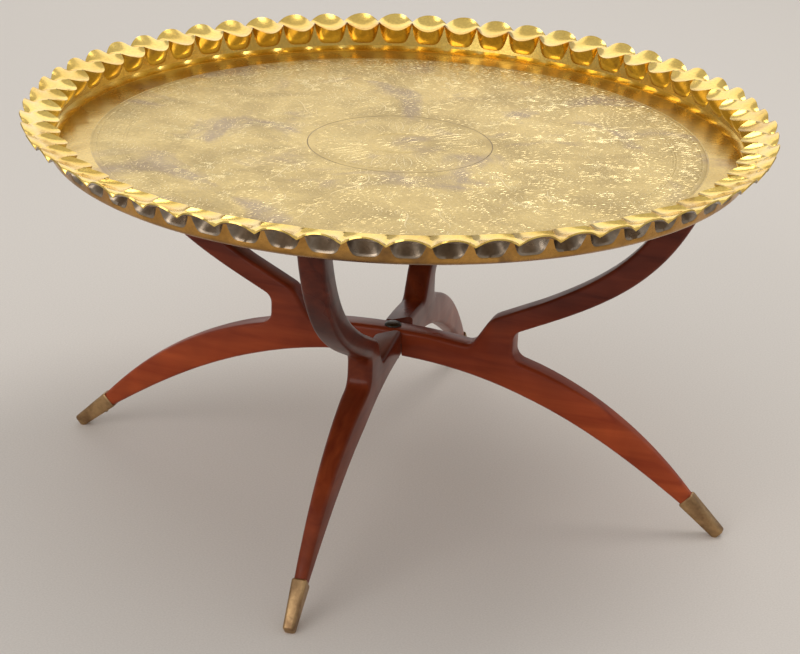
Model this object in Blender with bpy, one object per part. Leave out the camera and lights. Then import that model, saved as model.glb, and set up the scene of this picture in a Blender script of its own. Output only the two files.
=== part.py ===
"""Round brass tray with a scalloped rim on a folding wooden spider-leg stand.

Units are metres, +Z is up.  The origin lies on the floor under the stand's pivot.
+X runs along the upper frame.  The lower frame crosses it under a half-lap and
turns about the vertical pivot bolt.  The tray rests on the four arm tips.
"""
import math

import bmesh
import bpy
from mathutils import Matrix, Vector

MM = 0.001

# Tray
TRAY_RADIUS = 380.0 * MM            # to the tops of the petals' arched lips
TRAY_REST_HEIGHT = 373.0 * MM       # underside of the tray floor above the ground
SHEET = 1.5 * MM
RIM_RUN = 36.0 * MM                 # from the edge of the flat floor out to the lips
COVE_RUN = 9.0 * MM                 # radial run of the cove between floor and wall
COVE_RISE = 4.2 * MM
ARCH_RISE = 34.7 * MM               # floor top to the middle of a petal's lip
VALLEY_RISE = 26.5 * MM             # floor top to the valley between two petals
VALLEY_INSET = 3.3 * MM             # the valleys lie this far inside the lips
FOLD_INSET = 38.0 * MM              # a petal's inner fold lies this far inside its lip
FOLD_RISE = 25.0 * MM               # floor top to the inner fold at the middle of a petal
PEAK_INSET = 22.0 * MM              # the fold's peak between two petals, inside the lips
PEAK_RISE = 30.5 * MM               # floor top to that peak
SCOOP_FOOT = 0.1                    # foot of a scoop, as a share of the way up a ridge
SCOOP_ROUND = 4.0                   # how square a scoop's foot is
RIDGE_SHARE = 0.2                   # how far scoop foot and fold stay apart on a ridge
BED_SAG = 3.5 * MM                  # hollow between a petal's fold and lip
PETAL_COUNT = 60
PETAL_TURN = math.radians(1.6)      # the middle of a petal past +X
PETAL_SAMPLES = 4                   # facets round one petal

# Stand
BOARD = 26.0 * MM                   # board thickness of both frames
BEAM_HEIGHT = 29.0 * MM             # board height at the pivot
BEAM_CENTRE_HEIGHT = 161.5 * MM
OPEN_ANGLE = math.radians(94.0)         # right leg round to back leg at rest, the open stop
FOLDED_ANGLE = math.radians(45.0)       # the same angle at the folded stop
EDGE_ROUND = 4.0 * MM
EDGE_ROUND_STEPS = 2
EDGE_ANGLE = math.radians(40.0)     # corners sharper than this are rounded
SMOOTH_ANGLE = math.radians(35.0)   # facets that meet flatter than this are shaded as one

# Legs
LEG_SLOPE = math.radians(42.0)      # straight foot below the horizontal
FOOT_REACH = 361.5 * MM             # pivot axis to the middle of the foot's end
FOOT_END_HEIGHT = 2.0 * MM          # middle of the foot's end above the ground
LEG_HANDLE = 130.0 * MM             # how long the leg's curve keeps its end directions
LEG_BELLY = 46.0 * MM               # control width between the level beam and the ankle
LEG_STEPS = 14
BEAM_STEPS = 4
UNDERSIDE_STEPS = 21
TAPER_START = 150.0 * MM            # the board thins outwards from here

# Arms
ARM_ROOT_REACH = 140.0 * MM
ARM_ROOT_HEIGHT = 206.0 * MM
ARM_ROOT_SLOPE = math.radians(27.0)
ARM_TIP_INSET = 35.0 * MM           # middle of an arm's tip inside the edge of the tray's floor
ARM_TIP_SLOPE = math.radians(72.0)
ARM_ROOT_HANDLE = 90.0 * MM
ARM_TIP_HANDLE = 100.0 * MM
ARM_ROOT_WIDTH = 21.0 * MM
ARM_TIP_WIDTH = 30.0 * MM
ARM_STEPS = 9
ARM_CURVE_END = 0.88                # the arm's edges run straight from here to the tip
NECK_FOOT_REACH = 88.0 * MM         # inner corner between beam and neck
NECK_FOOT_RADIUS = 12.0 * MM
NECK_TOP_REACH = 108.0 * MM         # shoulder between neck and arm
NECK_TOP_DROP = 12.0 * MM           # shoulder below the arm's inner root
NECK_TOP_RADIUS = 24.0 * MM
CROTCH_REACH = 133.0 * MM           # inner end of the gap between arm and leg
CROTCH_RADIUS = 13.0 * MM
CORNER_STEPS = 4

# Brass foot caps
SABOT_LENGTH = 52.0 * MM
SABOT_TOP_WIDTH = 18.5 * MM
SABOT_END_WIDTH = 13.5 * MM
SABOT_TOP_THICK = 15.5 * MM
SABOT_END_THICK = 11.0 * MM
SABOT_WALL = 1.0 * MM
SABOT_END_WALL = 6.0 * MM
SABOT_EDGE_ROUND = 3.0 * MM

# Pivot bolt, washer and nut
BOLT_DIAMETER = 8.0 * MM
BOLT_HEAD_DIAMETER = 18.0 * MM
BOLT_HEAD_HEIGHT = 3.5 * MM
BOLT_DOME_STEPS = 5
BOLT_TAIL = 2.5 * MM                # bolt past the nut
WASHER_DIAMETER = 18.0 * MM
WASHER_THICKNESS = 1.6 * MM
NUT_ACROSS_FLATS = 13.0 * MM
NUT_HEIGHT = 6.5 * MM

# Cap pins
PIN_DIAMETER = 2.4 * MM
PIN_LENGTH = 9.0 * MM
PIN_HEAD_DIAMETER = 4.5 * MM
PIN_HEAD_HEIGHT = 1.0 * MM
PIN_SHOULDER_REACH = 0.6            # the head's shoulder, as a share of its radius
PIN_SHOULDER_RISE = 0.8             # and of its height
PIN_FROM_TOP = 16.0 * MM            # along the cap, from its mouth

# Fits
SEAT_GAP = 0.3 * MM                 # between pieces that rest on or in each other
NOTCH_GAP = 0.5 * MM                # each side of a board in the other board's notch
CUT_MARGIN = 5.0 * MM               # how far a cutter runs past what it cuts
ROUND_SIDES = 24
SEARCH_STEPS = 40

FLOOR_RADIUS = TRAY_RADIUS - RIM_RUN
FLOOR_TOP = TRAY_REST_HEIGHT + SHEET
ARM_TIP_REACH = FLOOR_RADIUS - ARM_TIP_INSET
ARM_TOP = TRAY_REST_HEIGHT - SEAT_GAP
BEAM_TOP = BEAM_CENTRE_HEIGHT + BEAM_HEIGHT / 2
BEAM_FOOT = BEAM_CENTRE_HEIGHT - BEAM_HEIGHT / 2
FOOT_AXIS = Vector((math.cos(LEG_SLOPE), -math.sin(LEG_SLOPE)))
FOOT_UP = Vector((math.sin(LEG_SLOPE), math.cos(LEG_SLOPE)))
FOOT_END = Vector((FOOT_REACH, FOOT_END_HEIGHT))
ANKLE = FOOT_END - FOOT_AXIS * SABOT_LENGTH
SKIN = SABOT_WALL + SEAT_GAP


def clear_scene():
    for item in list(bpy.data.objects):
        bpy.data.objects.remove(item, do_unlink=True)


def make_material(name, colour, roughness, metallic):
    material = bpy.data.materials.new(name)
    material.use_nodes = True
    shader = material.node_tree.nodes["Principled BSDF"]
    shader.inputs["Base Color"].default_value = (*colour, 1.0)
    shader.inputs["Roughness"].default_value = roughness
    shader.inputs["Metallic"].default_value = metallic
    return material


def make_object(name, mesh_data, material, parent=None):
    mesh = bpy.data.meshes.new(name)
    mesh_data.to_mesh(mesh)
    mesh_data.free()
    item = bpy.data.objects.new(name, mesh)
    bpy.context.scene.collection.objects.link(item)
    if material is not None:
        mesh.materials.append(material)
    item.parent = parent
    return item


def make_empty(name, turn):
    item = bpy.data.objects.new(name, None)
    item.rotation_euler = (0.0, 0.0, turn)
    bpy.context.scene.collection.objects.link(item)
    return item


def smooth(item):
    item.data.shade_smooth()
    item.data.set_sharp_from_angle(angle=SMOOTH_ANGLE)


def round_edges(item, width, steps):
    bevel = item.modifiers.new("edge_round", "BEVEL")
    bevel.width = width
    bevel.segments = steps
    bevel.limit_method = "ANGLE"
    bevel.angle_limit = EDGE_ANGLE
    bevel.use_clamp_overlap = False


def cut(item, cutter):
    cutter.hide_render = True
    cutter.display_type = "WIRE"
    modifier = item.modifiers.new("cut_" + cutter.name, "BOOLEAN")
    modifier.operation = "DIFFERENCE"
    modifier.solver = "EXACT"
    modifier.object = cutter


def cubic(start, handle_a, handle_b, end, t):
    s = 1.0 - t
    return start * s**3 + handle_a * (3 * s * s * t) + handle_b * (3 * s * t * t) + end * t**3


def cubic_slope(start, handle_a, handle_b, end, t):
    s = 1.0 - t
    slope = (handle_a - start) * (s * s)
    slope += (handle_b - handle_a) * (2 * s * t)
    slope += (end - handle_b) * (t * t)
    return slope.normalized()


def left_of(direction):
    return Vector((-direction.y, direction.x))


def leg_edge(t, side):
    """A point of the leg's upper (side 1) or lower (side -1) edge."""
    start = Vector((0.0, BEAM_CENTRE_HEIGHT))
    curve = (start, start + Vector((LEG_HANDLE, 0.0)), ANKLE - FOOT_AXIS * LEG_HANDLE, ANKLE)
    ankle_width = SABOT_TOP_WIDTH - 2 * SKIN
    width = cubic(BEAM_HEIGHT, BEAM_HEIGHT, LEG_BELLY, ankle_width, t)
    return cubic(*curve, t) + left_of(cubic_slope(*curve, t)) * (side * width / 2)


def arm_edge(t, side):
    """A point of the arm's inner (side 1) or outer (side -1) edge."""
    root = Vector((ARM_ROOT_REACH, ARM_ROOT_HEIGHT))
    tip = Vector((ARM_TIP_REACH, ARM_TOP))
    root_way = Vector((math.cos(ARM_ROOT_SLOPE), math.sin(ARM_ROOT_SLOPE)))
    tip_way = Vector((math.cos(ARM_TIP_SLOPE), math.sin(ARM_TIP_SLOPE)))
    curve = (root, root + root_way * ARM_ROOT_HANDLE, tip - tip_way * ARM_TIP_HANDLE, tip)
    width = ARM_ROOT_WIDTH + (ARM_TIP_WIDTH - ARM_ROOT_WIDTH) * t
    if t == 1.0:
        return tip - Vector((side * width / 2 / math.sin(ARM_TIP_SLOPE), 0.0))
    return cubic(*curve, t) + left_of(cubic_slope(*curve, t)) * (side * width / 2)


def rounded_corner(before, corner, after, radius):
    """Points of the arc that rounds a corner between two straight stretches."""
    way_in = (corner - before).normalized()
    way_out = (after - corner).normalized()
    turn = math.acos(max(-1.0, min(1.0, way_in.dot(way_out))))
    reach = radius * math.tan(turn / 2)
    start = corner - way_in * reach
    hand = 1.0 if way_in.x * way_out.y - way_in.y * way_out.x > 0 else -1.0
    centre = start + left_of(way_in) * (hand * radius)
    points = []
    for step in range(CORNER_STEPS + 1):
        arm = start - centre
        angle = hand * turn * step / CORNER_STEPS
        spun = Matrix.Rotation(angle, 2) @ arm
        points.append(centre + spun)
    return points


def station_at(edge, side, reach):
    """The curve's parameter where its edge passes a given reach."""
    low, high = 0.0, 1.0
    for _ in range(SEARCH_STEPS):
        middle = (low + high) / 2
        if edge(middle, side).x < reach:
            low = middle
        else:
            high = middle
    return low


def curve_run(edge, side, first, last, steps):
    return [edge(first + (last - first) * step / steps, side) for step in range(steps + 1)]


def half_outline():
    """One leg and arm in the frame's plane, from the beam's top round to its underside."""
    inner_root = arm_edge(0.0, 1)
    outer_root = arm_edge(0.0, -1)
    beam_end = station_at(leg_edge, 1, NECK_FOOT_REACH - NECK_FOOT_RADIUS)
    neck_foot = leg_edge(station_at(leg_edge, 1, NECK_FOOT_REACH), 1)
    neck_top = Vector((NECK_TOP_REACH, inner_root.y - NECK_TOP_DROP))
    leg_start = station_at(leg_edge, 1, CROTCH_REACH + 2 * CROTCH_RADIUS)
    leg_top = leg_edge(leg_start, 1)
    crotch_low = leg_edge(station_at(leg_edge, 1, CROTCH_REACH), 1)
    root_way = outer_root - arm_edge(1.0 / ARM_STEPS, -1)
    crotch_high = outer_root + root_way * ((CROTCH_REACH - outer_root.x) / root_way.x)
    shin_end = FOOT_END - FOOT_AXIS * (SABOT_END_WALL + SEAT_GAP)
    shin_half = cap_size(SABOT_END_WALL, SABOT_TOP_WIDTH, SABOT_END_WIDTH) / 2 - SKIN

    points = curve_run(leg_edge, 1, 0.0, beam_end, BEAM_STEPS)
    points += rounded_corner(points[-1], neck_foot, neck_top, NECK_FOOT_RADIUS)
    points += rounded_corner(neck_foot, neck_top, inner_root, NECK_TOP_RADIUS)
    points += curve_run(arm_edge, 1, 1.0 / ARM_STEPS, ARM_CURVE_END, ARM_STEPS)
    points += [arm_edge(1.0, 1), arm_edge(1.0, -1)]
    points += reversed(curve_run(arm_edge, -1, 1.0 / ARM_STEPS, ARM_CURVE_END, ARM_STEPS))
    arm_points = len(points)
    points += rounded_corner(outer_root, crotch_high, crotch_low, CROTCH_RADIUS)
    points += rounded_corner(crotch_high, crotch_low, leg_top, CROTCH_RADIUS)
    points += curve_run(leg_edge, 1, leg_start, 1.0, LEG_STEPS)
    points.append(shin_end + FOOT_UP * shin_half)
    points.append(shin_end - FOOT_UP * shin_half)
    points += reversed(curve_run(leg_edge, -1, 0.0, 1.0, UNDERSIDE_STEPS))
    return points, arm_points


def cap_size(along, at_top, at_end):
    """A cap's outer size at a distance from the foot's end."""
    return at_end + (at_top - at_end) * along / SABOT_LENGTH


def board_thickness(point):
    """Thickness of a leg at a point of its outline: full, then thinning to fit its cap."""
    reach = abs(point.x)
    along = (FOOT_END - Vector((reach, point.y))).dot(FOOT_AXIS)
    if reach <= TAPER_START:
        return BOARD
    if along < SABOT_LENGTH:
        return cap_size(along, SABOT_TOP_THICK, SABOT_END_THICK) - 2 * SKIN
    ankle = SABOT_TOP_THICK - 2 * SKIN
    return BOARD + (ankle - BOARD) * (reach - TAPER_START) / (ANKLE.x - TAPER_START)


def frame_mesh():
    """Both halves of one frame as a closed board, thinned towards the feet."""
    half, arm_points = half_outline()
    outline = [(point, index < arm_points) for index, point in enumerate(half)]
    mirrored = [(Vector((-point.x, point.y)), on_arm) for point, on_arm in outline[1:-1]]
    outline += reversed(mirrored)
    mesh = bmesh.new()
    sides = []
    for face in (1, -1):
        ring = []
        for point, on_arm in outline:
            thickness = BOARD if on_arm else board_thickness(point)
            ring.append(mesh.verts.new((point.x, face * thickness / 2, point.y)))
        sides.append(ring)
    front, back = sides
    count = len(outline)
    for index in range(count):
        after = (index + 1) % count
        mesh.faces.new((front[index], front[after], back[after], back[index]))
    mesh.faces.new(list(reversed(front)))
    mesh.faces.new(back)
    bmesh.ops.recalc_face_normals(mesh, faces=mesh.faces)
    return mesh


def prism_mesh(points, low, high):
    """An upright prism over a plan outline."""
    mesh = bmesh.new()
    bottom = [mesh.verts.new((x, y, low)) for x, y in points]
    top = [mesh.verts.new((x, y, high)) for x, y in points]
    count = len(points)
    for index in range(count):
        after = (index + 1) % count
        mesh.faces.new((bottom[index], bottom[after], top[after], top[index]))
    mesh.faces.new(list(reversed(bottom)))
    mesh.faces.new(top)
    bmesh.ops.recalc_face_normals(mesh, faces=mesh.faces)
    return mesh


def circle_points(radius, sides):
    return [(radius * math.cos(2 * math.pi * k / sides), radius * math.sin(2 * math.pi * k / sides))
            for k in range(sides)]


def strip_edge(heading, side, y):
    """A point on one side of the room that the other board takes up at a heading."""
    half = BOARD / 2 + NOTCH_GAP
    return (y / math.tan(heading) + side * half / math.sin(heading), y)


def notch_points(headings):
    """Plan of the notch that lets the other board turn between two headings."""
    low, high = sorted(headings)
    edge = BOARD / 2 + CUT_MARGIN
    widening = 1.0 / math.sin(low) - 1.0 / math.sin(high)
    knee = (BOARD / 2 + NOTCH_GAP) * widening / (1.0 / math.tan(low) - 1.0 / math.tan(high))
    left = [strip_edge(high, -1, edge), strip_edge(high, -1, knee), strip_edge(low, -1, -edge)]
    right = [strip_edge(high, 1, -edge), strip_edge(high, 1, -knee), strip_edge(low, 1, edge)]
    return left + right


def cap_mesh(length, top_width, end_width, top_thick, end_thick, end_offset=0.0):
    """A tapered block along the foot's axis, mouth to end, in one leg's plane."""
    mesh = bmesh.new()
    rings = []
    for along, width, thick in ((length, top_width, top_thick), (end_offset, end_width, end_thick)):
        centre = FOOT_END - FOOT_AXIS * along
        ring = []
        for up, across in ((1, 1), (1, -1), (-1, -1), (-1, 1)):
            point = centre + FOOT_UP * (up * width / 2)
            ring.append(mesh.verts.new((point.x, across * thick / 2, point.y)))
        rings.append(ring)
    top, end = rings
    for index in range(4):
        after = (index + 1) % 4
        mesh.faces.new((top[index], top[after], end[after], end[index]))
    mesh.faces.new(list(reversed(top)))
    mesh.faces.new(end)
    bmesh.ops.recalc_face_normals(mesh, faces=mesh.faces)
    return mesh


def pocket_mesh():
    """The hollow of a cap, open past its mouth."""
    mouth = SABOT_LENGTH + CUT_MARGIN
    sizes = []
    for along in (mouth, SABOT_END_WALL):
        width = cap_size(along, SABOT_TOP_WIDTH, SABOT_END_WIDTH) - 2 * SABOT_WALL
        thick = cap_size(along, SABOT_TOP_THICK, SABOT_END_THICK) - 2 * SABOT_WALL
        sizes.append((width, thick))
    return cap_mesh(mouth, sizes[0][0], sizes[1][0], sizes[0][1], sizes[1][1], SABOT_END_WALL)


def pin_matrix():
    """Places a pin's own +Z along its way into the cap's underside."""
    along = SABOT_LENGTH - PIN_FROM_TOP
    width = cap_size(along, SABOT_TOP_WIDTH, SABOT_END_WIDTH)
    seat = FOOT_END - FOOT_AXIS * along - FOOT_UP * (width / 2 + SEAT_GAP)
    taper = math.atan((SABOT_TOP_WIDTH - SABOT_END_WIDTH) / 2 / SABOT_LENGTH)
    tilt = LEG_SLOPE - taper
    return Matrix.Translation((seat.x, 0.0, seat.y)) @ Matrix.Rotation(tilt, 4, "Y")


def turned_mesh(profile, sides):
    """A closed turned piece; the profile runs from axis to axis, radius and height."""
    mesh = bmesh.new()
    rings = []
    for radius, height in profile:
        if radius == 0.0:
            rings.append([mesh.verts.new((0.0, 0.0, height))])
        else:
            rings.append([mesh.verts.new((x, y, height)) for x, y in circle_points(radius, sides)])
    for low, high in zip(rings, rings[1:]):
        for index in range(sides):
            after = (index + 1) % sides
            corners = [low[index % len(low)], low[after % len(low)]]
            corners += [high[after % len(high)], high[index % len(high)]]
            mesh.faces.new(list(dict.fromkeys(corners)))
    bmesh.ops.recalc_face_normals(mesh, faces=mesh.faces)
    return mesh


def ring_mesh(outer, bore, low, high):
    """A washer or nut between two plan outlines with the same count of points."""
    mesh = bmesh.new()
    loops = []
    for points, height in ((outer, low), (outer, high), (bore, high), (bore, low)):
        loops.append([mesh.verts.new((x, y, height)) for x, y in points])
    count = len(outer)
    for here, there in zip(loops, loops[1:] + loops[:1]):
        for index in range(count):
            after = (index + 1) % count
            mesh.faces.new((here[index], here[after], there[after], there[index]))
    bmesh.ops.recalc_face_normals(mesh, faces=mesh.faces)
    return mesh


def rim_stations(phase):
    """Radius and height of the rim's upper surface from the floor's edge to the lip.

    The phase is 0 in the middle of a petal and 0.5 on the ridges beside it.
    """
    arch = 1.0 - (2.0 * phase) ** 2
    belly = RIDGE_SHARE + (1.0 - RIDGE_SHARE) * arch
    valley = Vector((TRAY_RADIUS - VALLEY_INSET, FLOOR_TOP + VALLEY_RISE))
    lip = valley + Vector((VALLEY_INSET, ARCH_RISE - VALLEY_RISE)) * arch
    floor_edge = Vector((FLOOR_RADIUS, FLOOR_TOP))
    cove = floor_edge + Vector((COVE_RUN, COVE_RISE))
    peak = Vector((TRAY_RADIUS - PEAK_INSET, FLOOR_TOP + PEAK_RISE))
    deepest = Vector((TRAY_RADIUS - FOLD_INSET, FLOOR_TOP + FOLD_RISE))
    width = RIDGE_SHARE + (1.0 - RIDGE_SHARE) * (1.0 - abs(2.0 * phase) ** SCOOP_ROUND)
    scoop_foot = cove.lerp(peak, 1.0 - (1.0 - SCOOP_FOOT) * width)
    fold = peak.lerp(deepest, belly)
    bed = (fold + lip) / 2 - Vector((0.0, BED_SAG * arch))
    return [floor_edge, cove, scoop_foot, fold, bed, lip]


def sheet_underside(stations):
    """The rim's lower surface: the upper one moved out by the sheet's thickness."""
    under = []
    for index, (radius, height) in enumerate(stations):
        before = stations[max(index - 1, 0)]
        after = stations[min(index + 1, len(stations) - 1)]
        run, rise = after[0] - before[0], after[1] - before[1]
        length = math.hypot(run, rise)
        under.append((radius + SHEET * rise / length, height - SHEET * run / length))
    under[0] = (stations[0][0], stations[0][1] - SHEET)
    return under


def tray_mesh():
    mesh = bmesh.new()
    around = PETAL_COUNT * PETAL_SAMPLES
    columns = []
    for step in range(around):
        angle = PETAL_TURN + 2 * math.pi * step / around
        phase = (step % PETAL_SAMPLES) / PETAL_SAMPLES
        phase = phase - 1.0 if phase > 0.5 else phase
        upper = rim_stations(phase)
        profile = upper + list(reversed(sheet_underside(upper)))
        columns.append([mesh.verts.new((r * math.cos(angle), r * math.sin(angle), z)) for r, z in profile])
    for index, column in enumerate(columns):
        after = columns[(index + 1) % around]
        for low in range(len(column) - 1):
            mesh.faces.new((column[low], after[low], after[low + 1], column[low + 1]))
    for row, height in ((0, FLOOR_TOP), (-1, FLOOR_TOP - SHEET)):
        centre = mesh.verts.new((0.0, 0.0, height))
        for index, column in enumerate(columns):
            after = columns[(index + 1) % around]
            mesh.faces.new((centre, column[row], after[row]))
    bmesh.ops.recalc_face_normals(mesh, faces=mesh.faces)
    return mesh


def build_tray(material):
    holder = make_empty("tray_lift", 0.0)
    tray = make_object("tray", tray_mesh(), material, holder)
    smooth(tray)
    return tray


def build_frame(name, stand, headings, notch_up, wood, pin_cutters):
    """One frame with its half-lap notch, bolt hole and cap-pin holes."""
    frame = make_object(name, frame_mesh(), wood, stand)
    round_edges(frame, EDGE_ROUND, EDGE_ROUND_STEPS)
    frame.modifiers.new("flat_facets", "TRIANGULATE")
    lap = BEAM_CENTRE_HEIGHT
    if notch_up:
        low, high = lap - SEAT_GAP / 2, lap + BEAM_HEIGHT / 2 + CUT_MARGIN
    else:
        low, high = lap - BEAM_HEIGHT / 2 - CUT_MARGIN, lap + SEAT_GAP / 2
    notch = make_object(name + "_notch", prism_mesh(notch_points(headings), low, high), None, stand)
    hole = prism_mesh(circle_points(BOLT_DIAMETER / 2 + SEAT_GAP, ROUND_SIDES), BEAM_FOOT - CUT_MARGIN,
                      BEAM_TOP + CUT_MARGIN)
    cut(frame, notch)
    cut(frame, make_object(name + "_bolt_hole", hole, None, stand))
    for cutter in pin_cutters:
        cut(frame, cutter)
    smooth(frame)
    return frame


def pin_cutter(name, stand, turn):
    radius = PIN_DIAMETER / 2 + SEAT_GAP
    mesh = prism_mesh(circle_points(radius, ROUND_SIDES // 2), -CUT_MARGIN, PIN_LENGTH + SEAT_GAP)
    mesh.transform(Matrix.Rotation(turn, 4, "Z") @ pin_matrix())
    return make_object(name, mesh, None, stand)


def build_sabot(name, stand, turn, brass, cutter):
    """A brass foot cap, flat where it meets the floor and hollow for the leg's end."""
    swing = Matrix.Rotation(turn, 4, "Z")
    outer = cap_mesh(SABOT_LENGTH, SABOT_TOP_WIDTH, SABOT_END_WIDTH, SABOT_TOP_THICK, SABOT_END_THICK)
    outer.transform(swing)
    sabot = make_object(name, outer, brass, stand)
    round_edges(sabot, SABOT_EDGE_ROUND, EDGE_ROUND_STEPS)
    inner = pocket_mesh()
    inner.transform(swing)
    pocket = make_object(name + "_pocket", inner, None, stand)
    round_edges(pocket, SABOT_EDGE_ROUND - SABOT_WALL, EDGE_ROUND_STEPS)
    ground_reach = FOOT_REACH + SABOT_LENGTH
    corners = [(0.0, -SABOT_LENGTH), (ground_reach, -SABOT_LENGTH)]
    corners += [(ground_reach, SABOT_LENGTH), (0.0, SABOT_LENGTH)]
    ground_mesh = prism_mesh(corners, -SABOT_LENGTH, 0.0)
    ground_mesh.transform(swing)
    cut(sabot, pocket)
    cut(sabot, make_object(name + "_ground", ground_mesh, None, stand))
    cut(sabot, cutter)
    smooth(sabot)
    return sabot


def build_pin(name, stand, turn, brass):
    """A domed pin that holds a cap on its leg, driven in from the underside."""
    shank, head = PIN_DIAMETER / 2, PIN_HEAD_DIAMETER / 2
    shoulder = (head * PIN_SHOULDER_REACH, -PIN_HEAD_HEIGHT * PIN_SHOULDER_RISE)
    profile = [(0.0, -PIN_HEAD_HEIGHT), shoulder, (head, 0.0), (shank, 0.0)]
    profile += [(shank, PIN_LENGTH - shank), (0.0, PIN_LENGTH)]
    mesh = turned_mesh(profile, ROUND_SIDES // 2)
    mesh.transform(Matrix.Rotation(turn, 4, "Z") @ pin_matrix())
    pin = make_object(name, mesh, brass, stand)
    smooth(pin)
    return pin


def build_pivot(stand, steel):
    """Dome-headed bolt through both boards, with a washer and nut under the beam."""
    shank, head = BOLT_DIAMETER / 2, BOLT_HEAD_DIAMETER / 2
    seat = BEAM_TOP + SEAT_GAP
    washer_top = BEAM_FOOT - SEAT_GAP
    nut_top = washer_top - WASHER_THICKNESS - SEAT_GAP
    nut_foot = nut_top - NUT_HEIGHT
    profile = [(0.0, nut_foot - BOLT_TAIL), (shank, nut_foot - BOLT_TAIL), (shank, seat), (head, seat)]
    for step in range(1, BOLT_DOME_STEPS):
        angle = math.pi / 2 * step / BOLT_DOME_STEPS
        profile.append((head * math.cos(angle), seat + BOLT_HEAD_HEIGHT * math.sin(angle)))
    profile.append((0.0, seat + BOLT_HEAD_HEIGHT))
    bolt = make_object("pivot_bolt", turned_mesh(profile, ROUND_SIDES), steel, stand)
    bore = circle_points(shank + SEAT_GAP, ROUND_SIDES)
    washer_outer = circle_points(WASHER_DIAMETER / 2, ROUND_SIDES)
    washer_mesh = ring_mesh(washer_outer, bore, washer_top - WASHER_THICKNESS, washer_top)
    washer = make_object("pivot_washer", washer_mesh, steel, stand)
    hexagon = []
    for x, y in circle_points(1.0, ROUND_SIDES):
        angle = math.atan2(y, x)
        off_flat = (angle + math.pi / 6) % (math.pi / 3) - math.pi / 6
        reach = NUT_ACROSS_FLATS / 2 / math.cos(off_flat)
        hexagon.append((reach * x, reach * y))
    nut = make_object("pivot_nut", ring_mesh(hexagon, bore, nut_foot, nut_top), steel, stand)
    for item in (bolt, washer, nut):
        smooth(item)


def build_stand():
    """Two frames on the pivot, each with two capped feet."""
    layout = (
        ("upper", 0.0, (OPEN_ANGLE, FOLDED_ANGLE), False, ("right", "left")),
        ("lower", OPEN_ANGLE, (math.pi - OPEN_ANGLE, math.pi - FOLDED_ANGLE), True, ("back", "front")),
    )
    for level, turn, headings, notch_up, feet in layout:
        stand = make_empty(level + "_stand", turn)
        wood = make_material(level + "_frame_wood", (0.22, 0.045, 0.022), 0.3, 0.0)
        cutters = []
        for index, foot in enumerate(feet):
            leg_turn = math.pi * index
            cutter = pin_cutter(foot + "_pin_hole", stand, leg_turn)
            cap_brass = make_material(foot + "_sabot_brass", (0.30, 0.22, 0.12), 0.45, 1.0)
            pin_brass = make_material(foot + "_pin_brass", (0.45, 0.33, 0.15), 0.4, 1.0)
            build_sabot("sabot_" + foot, stand, leg_turn, cap_brass, cutter)
            build_pin("sabot_pin_" + foot, stand, leg_turn, pin_brass)
            cutters.append(cutter)
        build_frame("frame_" + level, stand, headings, notch_up, wood, cutters)
        if level == "upper":
            build_pivot(stand, make_material("pivot_steel", (0.06, 0.055, 0.05), 0.4, 1.0))


def build():
    clear_scene()
    build_tray(make_material("tray_brass", (0.72, 0.52, 0.20), 0.3, 1.0))
    build_stand()


build()
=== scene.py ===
"""Looks of the tray table: chased brass tray, lacquered folding stand, pale studio.

Metres, +Z up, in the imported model's frame.  Tray, boards and foot caps are made in mesh code
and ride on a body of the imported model.  Bolt, washer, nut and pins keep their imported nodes.
Every material is procedural.
"""
import math
import random

import bmesh
import bpy
import numpy as np
from mathutils import Matrix, Vector


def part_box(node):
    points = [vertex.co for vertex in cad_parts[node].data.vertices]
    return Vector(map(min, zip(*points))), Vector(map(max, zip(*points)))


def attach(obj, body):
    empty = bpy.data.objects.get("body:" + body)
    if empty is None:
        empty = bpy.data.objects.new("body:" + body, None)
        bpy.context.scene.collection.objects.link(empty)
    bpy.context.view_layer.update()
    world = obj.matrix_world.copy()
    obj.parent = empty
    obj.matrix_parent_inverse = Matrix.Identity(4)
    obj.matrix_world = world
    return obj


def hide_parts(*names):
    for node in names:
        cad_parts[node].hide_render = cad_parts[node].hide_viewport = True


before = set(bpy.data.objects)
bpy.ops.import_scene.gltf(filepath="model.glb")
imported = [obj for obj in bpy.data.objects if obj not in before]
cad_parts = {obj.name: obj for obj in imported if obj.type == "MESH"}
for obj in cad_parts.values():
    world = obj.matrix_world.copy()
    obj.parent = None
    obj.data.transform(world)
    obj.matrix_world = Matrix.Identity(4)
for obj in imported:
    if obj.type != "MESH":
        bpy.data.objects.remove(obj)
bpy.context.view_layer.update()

MM = 0.001

# Tray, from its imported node
TRAY_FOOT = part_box("tray")[0].z
TRAY_RADIUS = 380.0 * MM
SHEET = 1.5 * MM
FLOOR_TOP = TRAY_FOOT + SHEET
ARCH_RISE = 34.7 * MM               # floor to the middle of a petal's lip
VALLEY_RISE = 26.5 * MM             # floor to the valley between two petals
VALLEY_INSET = 3.3 * MM
FOLD_RADIUS = 342.0 * MM            # inner fold in the middle of a petal
FOLD_RISE = 25.0 * MM
PEAK_RADIUS = 358.0 * MM            # the fold's peak between two petals
PEAK_RISE = 30.5 * MM
FLOOR_RADIUS = 344.0 * MM
COVE_RADIUS = 353.0 * MM
COVE_RISE = 4.2 * MM
PETAL_COUNT = 60
PETAL_TURN = math.radians(1.6)      # the middle of a petal past +X
PETAL_SAMPLES = 16
SCOOP_FOOT = 0.10                   # foot of a scoop, as a share of the way up a ridge
RIDGE_SHARE = 0.10                  # how far scoop foot and fold stay apart on a ridge
BED_SAG = 4.0 * MM                  # hollow of a petal's bed
SCOOP_BULGE = 1.4 * MM
ARCH_ROUND = 2.2                    # how flat-topped a petal's lip is
SCOOP_ROUND = 5.0                   # how square a scoop's foot is
PETAL_SEED = 11
FLARE_WOBBLE = (-1.6, 1.2)          # unevenness of the lips, in mm
FOLD_WOBBLE = (-1.0, 1.0)           # unevenness of the folds, in mm
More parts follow.
